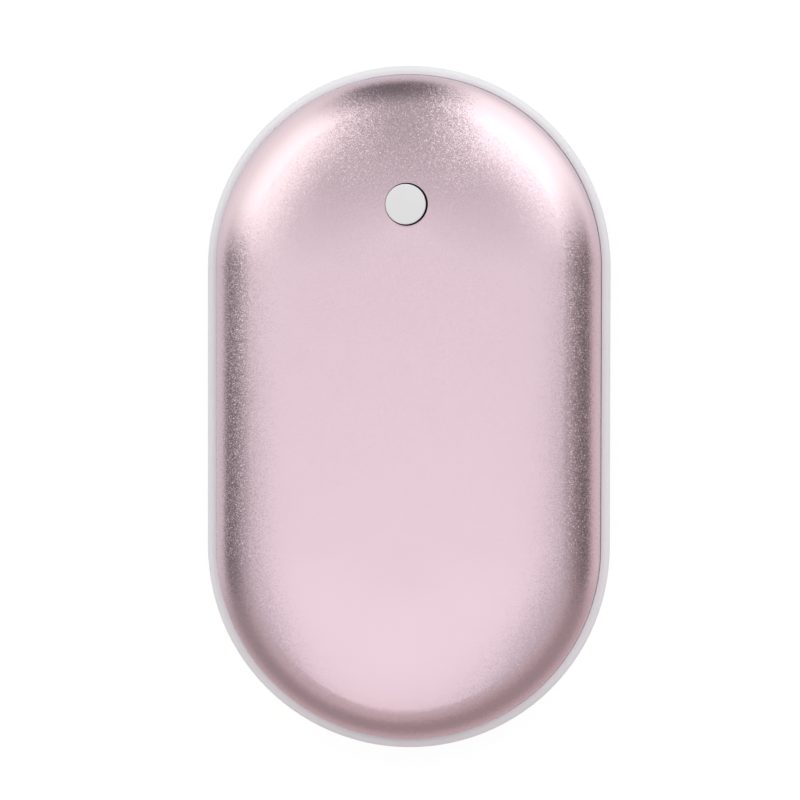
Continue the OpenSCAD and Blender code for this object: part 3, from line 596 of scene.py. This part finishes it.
class HANDWARMER_OT_finishes(bpy.types.Operator):
    """Procedural finishes, and the frame's own nodes that take them"""

    bl_idname = "handwarmer.finishes"
    bl_label = "Finishes"

    def execute(self, context):
        finish = context.scene.handwarmer_finishes
        blasted_aluminium(finish)
        by_slot = {
            "frame_plastic": moulded("frame plastic", finish.frame_colour, 0.38),
            "button_plastic": moulded_button(finish),
            "liner_plastic": moulded("liner plastic", (0.68, 0.68, 0.64), 0.5),
            "adhesive": moulded("cured adhesive", (0.72, 0.71, 0.66), 0.45, grain=0.0008, depth=0.00004),
            "heater_film": heater_track("heater film"),
            "foam": open_foam("foam", (0.030, 0.030, 0.033), 0.0006),
            "cell_sleeve": shrink_sleeve("cell sleeve", (0.03, 0.10, 0.33)),
            "cell_card": moulded("insulating card", (0.66, 0.66, 0.60), 0.8, grain=0.0002, depth=0.00001),
            "steel": plated("nickel plate", (0.66, 0.66, 0.67), 0.28),
            "contact_gold": plated("gold plate", (0.80, 0.58, 0.22), 0.22),
            "board": solder_mask("solder mask"),
            "black_plastic": moulded("black plastic", (0.022, 0.022, 0.024), 0.45, vary=0.12),
            "ceramic_part": moulded("fired ceramic", (0.46, 0.32, 0.18), 0.4, vary=0.08),
            "lead_red": moulded("red silicone", (0.42, 0.012, 0.012), 0.5, vary=0.06),
            "lead_black": moulded("black silicone", (0.018, 0.018, 0.018), 0.5, vary=0.12),
            "clear_plastic": clear_acrylic("clear acrylic"),
        }
        for part in frame["record"]["subparts"]:
            if part["material_slot"] in by_slot:
                node = frame["nodes"][part["node"]]
                node.data.materials.clear()
                node.data.materials.append(by_slot[part["material_slot"]])
        return {"FINISHED"}


class HANDWARMER_OT_front_shell(bpy.types.Operator):
    """Front shell with the button's hole, a closed surface from the hole out to the rim and back inside"""

    bl_idname = "handwarmer.front_shell"
    bl_label = "Front shell"

    def execute(self, context):
        size = context.scene.handwarmer_shells
        hole = (size.hole_x, size.hole_y)
        outer = shell_face(size, hole, size.hole_r + size.hole_edge_r, 0.0, OUTER_STEPS)
        inner = shell_face(size, hole, size.hole_r, size.wall, INNER_STEPS)
        rows = np.concatenate([outer, shell_rim(size), inner[::-1], hole_wall(size)])
        piece = add_grid("front_shell_surface", rows, "housing", closed=True)
        piece.data.materials.append(bpy.data.materials["blasted aluminium"])
        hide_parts("front_shell")
        return {"FINISHED"}


class HANDWARMER_OT_rear_shell(bpy.types.Operator):
    """Rear shell, the front shell's form without a hole, turned over"""

    bl_idname = "handwarmer.rear_shell"
    bl_label = "Rear shell"

    def execute(self, context):
        size = context.scene.handwarmer_shells
        outer = shell_face(size, (0.0, 0.0), SHELL_POLE_R, 0.0, OUTER_STEPS)
        inner = shell_face(size, (0.0, 0.0), SHELL_POLE_R, size.wall, INNER_STEPS)
        rows = np.concatenate([outer, shell_rim(size), inner[::-1]])
        poles = [(0.0, 0.0, 0.0), (0.0, 0.0, size.wall)]
        rows[..., 2] = size.top - rows[..., 2]
        piece = add_grid("rear_shell_surface", rows, "housing", poles=poles, flip=True)
        piece.data.materials.append(bpy.data.materials["blasted aluminium"])
        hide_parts("rear_shell")
        return {"FINISHED"}


class HANDWARMER_OT_power_button(bpy.types.Operator):
    """Button turned about its axis: domed face, bevel, cap, collar and stem"""

    bl_idname = "handwarmer.power_button"
    bl_label = "Power button"

    def execute(self, context):
        size = context.scene.handwarmer_button
        centre_y = context.scene.handwarmer_shells.hole_y
        top, low = BUTTON_HIGH.z, BUTTON_LOW.z
        collar_r = BUTTON_HIGH.x
        collar_top = size.collar_z + size.collar_t
        r = np.linspace(BUTTON_POLE_R, size.cap_r - size.bevel, FACE_POINTS)
        dome = np.stack([r, top - size.dome_r + np.sqrt(size.dome_r ** 2 - r ** 2)], axis=-1)
        below = rounded(
            [
                dome[-2],
                dome[-1],
                (size.cap_r, dome[-1, 1] - size.bevel),
                (size.cap_r, collar_top),
                (collar_r, collar_top),
                (collar_r, size.collar_z),
                (size.stem_r, size.collar_z),
                (size.stem_r, low),
                (BUTTON_POLE_R, low),
            ],
            CORNER_REACH,
        )
        rows = turned(np.vstack([dome[:-1], below[1:]]), (0.0, centre_y))
        poles = [(0.0, centre_y, top), (0.0, centre_y, low)]
        piece = add_grid("power_button_cap", rows, "button", poles=poles)
        piece.data.set_sharp_from_angle(angle=SHARP_ANGLE)
        piece.data.materials.append(bpy.data.materials["button plastic"])
        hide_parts("power_button")
        return {"FINISHED"}


# ---- The studio. Its angles are in degrees: azimuths from +X towards +Y, polar angles from the zenith.

# The camera: the place in plan that it looks at, how far it leans towards +X and +Y, and its roll.
CAMERA_AIM = (-0.00155, 0.00109)
CAMERA_LEAN = (3.08, 1.66)
CAMERA_ROLL = 0.08

# The floor: its colour, how much of what the camera sees is plain white, and the strength of that white.
FLOOR_COLOUR = (0.80, 0.80, 0.80, 1.0)
FLOOR_WHITE_SHARE = 0.78
FLOOR_WHITE = 1.13

# Sines of the azimuth between which the far end begins, the button's end begins and the two sides end.
FAR_END = (-0.091, -0.424)
BUTTON_END = (0.9, 0.959)
SIDES = (0.10, 0.24, 1.0, 0.0)
# Polar angles and the levels that the ground and the table take at them, and what the far end's ground adds.
GROUND = (34.8, 78.8, 0.382, 0.193)
MORE_GROUND_AT_FAR_END = (40.3, 50, 0.195, 0.158)
TABLE = (83.7, 117.8, 0.0, 0.512)
TABLE_AT_FAR_END = (97.4, 129.3, 0.0, 0.142)
# How much later the table begins at the button's end.
TABLE_LATER = 11.7
# By how much the ground is dimmer at the sides, and the polar angles between which that comes and goes.
SIDE_DIMMING = 0.3
DIMMING_COMES = (30, 50)
DIMMING_GOES = (85, 105, 1.0, 0.0)
# The soft light overhead: its level, the polar angles between which it ends, and its edges. Each edge has
# the shares of the angles towards +X and +Y whose sum is followed, and the two sums between which the light
# comes or goes.
OVERHEAD = 1.06
OVERHEAD_ENDS = (60, 80, 1.0, 0.0)
OVERHEAD_EDGES = [
    (1.0, 0.284, -28.6, -26.1, 0.0, 1.0),
    (1.0, -0.405, 19.8, 24.1, 1.0, 0.0),
    (-0.8, 1.0, -52.2, -21.2, 0.0, 1.0),
    (0.0, 1.0, -10.1, 26.5, 1.0, 0.0),
]
# The azimuth about which the light is a little warm, the cosines between which that comes, and the polar
# angles between which it starts.
WARM_AZIMUTH = -75
WARM_SPREAD = (-0.5, 1.0)
WARM_STARTS = (25, 60)
WARM = (1.12, 0.98, 0.955)
# The ruddy table at the far end: sines of the azimuth and polar angles between which it comes.
RUDDY_SPREAD = (0.1, -0.8)
RUDDY_STARTS = (120, 150)
RUDDY = (1.19, 0.965, 0.945)
# A glow at the far end and two panels at the button's end: azimuth of the middle, half width, widths of the
# fades before and beyond it, polar angles between which they begin and between which they end, polar angles
# and the levels that they take there, and the colour of their light.
PANELS = [
    (-110.2, 29.5, 54.1, 54.1, (23.3, 48.2), (47.6, 82.6), (0, 90), (0.60, 0.60), (1.08, 0.985, 0.965)),
    (48.1, 29.6, 40.5, 21.2, (15.6, 23.2), (90, 160), (20, 97), (1.745, 1.383), (0.955, 1.02, 0.965)),
    (142.8, 28.1, 25.5, 29.1, (21.1, 25.5), (90, 166), (32, 101), (1.528, 1.063), (0.965, 1.02, 0.955)),
]


def studio_light(r, azimuth, polar, across, along):
    """Colour of the studio's light in a direction, as the metal mirrors it.

    It is a dim ground that darkens towards the horizon, less dim at the far end and dimmer at the sides, a
    soft light overhead whose corners are not square and which reaches further to the far end, a table that is
    lit near the object, less so at the far end, and the panels, each with its own hue. Elsewhere the light is
    a little warm to the right and the far end, and the table there is ruddy. Across and along are the angles
    from the zenith towards +X and towards +Y.
    """
    turn = azimuth / DEGREES
    sine = turn.math("SINE", turn)
    far_end = r.between(sine, *FAR_END)
    light = r.between(polar, *GROUND) + far_end * r.between(polar, *MORE_GROUND_AT_FAR_END)
    aside = r.between(sine.math("ABSOLUTE", sine), *SIDES)
    dimming = SIDE_DIMMING * aside * r.between(polar, *DIMMING_COMES) * r.between(polar, *DIMMING_GOES)
    light = light * (1 - dimming)
    overhead = r.between(polar, *OVERHEAD_ENDS)
    for share_across, share_along, *edge in OVERHEAD_EDGES:
        overhead = overhead * r.between(share_across * across + share_along * along, *edge)
    light = light + overhead * (OVERHEAD - light)
    near = r.between(polar - TABLE_LATER * r.between(sine, *BUTTON_END), *TABLE)
    light = light + near * (1 - far_end) + far_end * r.between(polar, *TABLE_AT_FAR_END)
    off_warm = (azimuth - WARM_AZIMUTH) / DEGREES
    warmth = r.between(off_warm.math("COSINE", off_warm), *WARM_SPREAD) * r.between(polar, *WARM_STARTS)
    tint = r.mix(warmth, (1.0, 1.0, 1.0), WARM)
    for middle, half, before, beyond, rise, fall, dim, level, hue in PANELS:
        off = azimuth.math("WRAP", azimuth - middle, 180.0, -180.0)
        window = r.between(off, half - beyond / 2, half + beyond / 2, 1.0, 0.0)
        window = window * r.between(off, -half - before / 2, -half + before / 2)
        window = window * r.between(polar, *rise) * r.between(polar, *fall, 1.0, 0.0)
        light = light + window * (r.between(polar, *dim, *level) - light)
        tint = r.mix(window, tint, hue)
    tint = r.mix(r.between(sine, *RUDDY_SPREAD) * r.between(polar, *RUDDY_STARTS), tint, RUDDY)
    return tint.vector("SCALE", tint, Scale=light)


def studio_sky(world, strength):
    """Sky of the studio: studio_light for the metal and for the light on the object, and plain white for the
    camera."""
    world.use_nodes = True
    r = Recipe(world.node_tree, "ShaderNodeOutputWorld")
    x, y, z = r.axes(r.node("ShaderNodeTexCoord", out="Generated"))
    polar = z.math("ARCCOSINE", z) * DEGREES
    azimuth = y.math("ARCTAN2", y, x) * DEGREES
    across, along = x.math("ARCTAN2", x, z) * DEGREES, y.math("ARCTAN2", y, z) * DEGREES
    light = studio_light(r, azimuth, polar, across, along)
    studio = r.node("ShaderNodeBackground", {}, {"Color": light, "Strength": strength})
    white = r.node("ShaderNodeBackground", {}, {"Color": (1, 1, 1, 1), "Strength": 1.0})
    r.surface(r.node("ShaderNodeMixShader", {}, {0: r.seen(), 1: studio, 2: white}))


def white_floor(size, half_straight):
    """Pale floor. The camera sees it as plain white with the object's soft shadow kept. The metal sees the
    lit table near the object and the dim studio further off, as studio_light gives them for the direction
    from the side of the shell down to each place."""
    material, r = new_material("studio floor")
    pale = r.node("ShaderNodeBsdfDiffuse", {}, {"Color": FLOOR_COLOUR})
    white = r.node("ShaderNodeEmission", {}, {"Color": (1, 1, 1, 1), "Strength": FLOOR_WHITE})
    x, y, _ = r.axes()
    past = y.math("MAXIMUM", y.math("ABSOLUTE", y) - half_straight, 0.0) * y.math("SIGN", y)
    gone = (x * x + past * past) ** 0.5 - size.side_reach
    azimuth = past.math("ARCTAN2", past, x) * DEGREES
    polar = 180 - gone.math("ARCTAN2", gone.math("MAXIMUM", gone, 0.0), size.side_height) * DEGREES
    zero = r.node("ShaderNodeValue")
    light = studio_light(r, azimuth, polar, zero, zero)
    mirrored = r.node("ShaderNodeEmission", {}, {"Color": light, "Strength": size.light})
    glossy = r.node("ShaderNodeLightPath", out="Is Glossy Ray")
    plain = r.node("ShaderNodeMixShader", {}, {0: FLOOR_WHITE_SHARE * r.seen(), 1: pale, 2: white})
    r.surface(r.node("ShaderNodeMixShader", {}, {0: glossy, 1: plain, 2: mirrored}))
    half = size.floor_half
    corners = [(-half, -half, 0), (half, -half, 0), (half, half, 0), (-half, half, 0)]
    mesh = bpy.data.meshes.new("studio_floor")
    mesh.from_pydata(corners, [], [(0, 1, 2, 3)])
    floor = bpy.data.objects.new("studio_floor", mesh)
    floor.data.materials.append(material)
    bpy.context.scene.collection.objects.link(floor)


class HANDWARMER_OT_studio(bpy.types.Operator):
    """Camera at the photographed angle, pale floor and soft studio light"""

    bl_idname = "handwarmer.studio"
    bl_label = "Studio"

    def execute(self, context):
        size = context.scene.handwarmer_studio
        scene = context.scene
        scene.view_settings.view_transform = "Standard"
        camera = bpy.data.objects.new("camera", bpy.data.cameras.new("camera"))
        camera.data.lens = size.lens
        camera.data.clip_end = 10
        aim = Vector((*CAMERA_AIM, SHELL_HIGH.z / 2))
        lean_x, lean_y = np.sin(np.radians(CAMERA_LEAN))
        back = Vector((lean_x, lean_y, (1 - lean_x ** 2 - lean_y ** 2) ** 0.5))
        right = Vector((0, 1, 0)).cross(back).normalized()
        up = back.cross(right)
        roll = np.radians(CAMERA_ROLL)
        right, up = right * np.cos(roll) + up * np.sin(roll), up * np.cos(roll) - right * np.sin(roll)
        matrix = camera.matrix_world.copy()
        for i, axis in enumerate((right, up, back, aim + size.distance * back)):
            matrix.col[i].xyz = axis
        camera.matrix_world = matrix
        scene.collection.objects.link(camera)
        scene.camera = camera
        world = bpy.data.worlds.new("studio sky")
        scene.world = world
        studio_sky(world, size.light)
        white_floor(size, context.scene.handwarmer_shells.half_straight)
        return {"FINISHED"}


class HANDWARMER_PT_panel(bpy.types.Panel):
    """Buttons and sizes of the hand warmer"""

    bl_label = "Hand Warmer"
    bl_idname = "HANDWARMER_PT_panel"
    bl_space_type = "VIEW_3D"
    bl_region_type = "UI"
    bl_category = "Hand Warmer"

    def draw(self, context):
        for operator in OPERATORS:
            self.layout.operator(operator.bl_idname)
        for holder in HOLDERS:
            group = getattr(context.scene, holder)
            box = self.layout.box()
            for name in group.__annotations__:
                box.prop(group, name)


HOLDERS = {
    "handwarmer_shells": ShellSizes,
    "handwarmer_button": ButtonSizes,
    "handwarmer_finishes": Finishes,
    "handwarmer_studio": StudioSizes,
}
OPERATORS = [
    HANDWARMER_OT_finishes,
    HANDWARMER_OT_front_shell,
    HANDWARMER_OT_rear_shell,
    HANDWARMER_OT_power_button,
    HANDWARMER_OT_studio,
]


def register():
    for cls in (*HOLDERS.values(), *OPERATORS, HANDWARMER_PT_panel):
        bpy.utils.register_class(cls)
    for holder, group in HOLDERS.items():
        setattr(bpy.types.Scene, holder, PointerProperty(type=group))


def unregister():
    for holder in HOLDERS:
        delattr(bpy.types.Scene, holder)
    for cls in reversed((*HOLDERS.values(), *OPERATORS, HANDWARMER_PT_panel)):
        bpy.utils.unregister_class(cls)


def main():
    register()
    for operator in OPERATORS:
        group, name = operator.bl_idname.split(".")
        getattr(getattr(bpy.ops, group), name)()


if __name__ == "__main__":
    main()
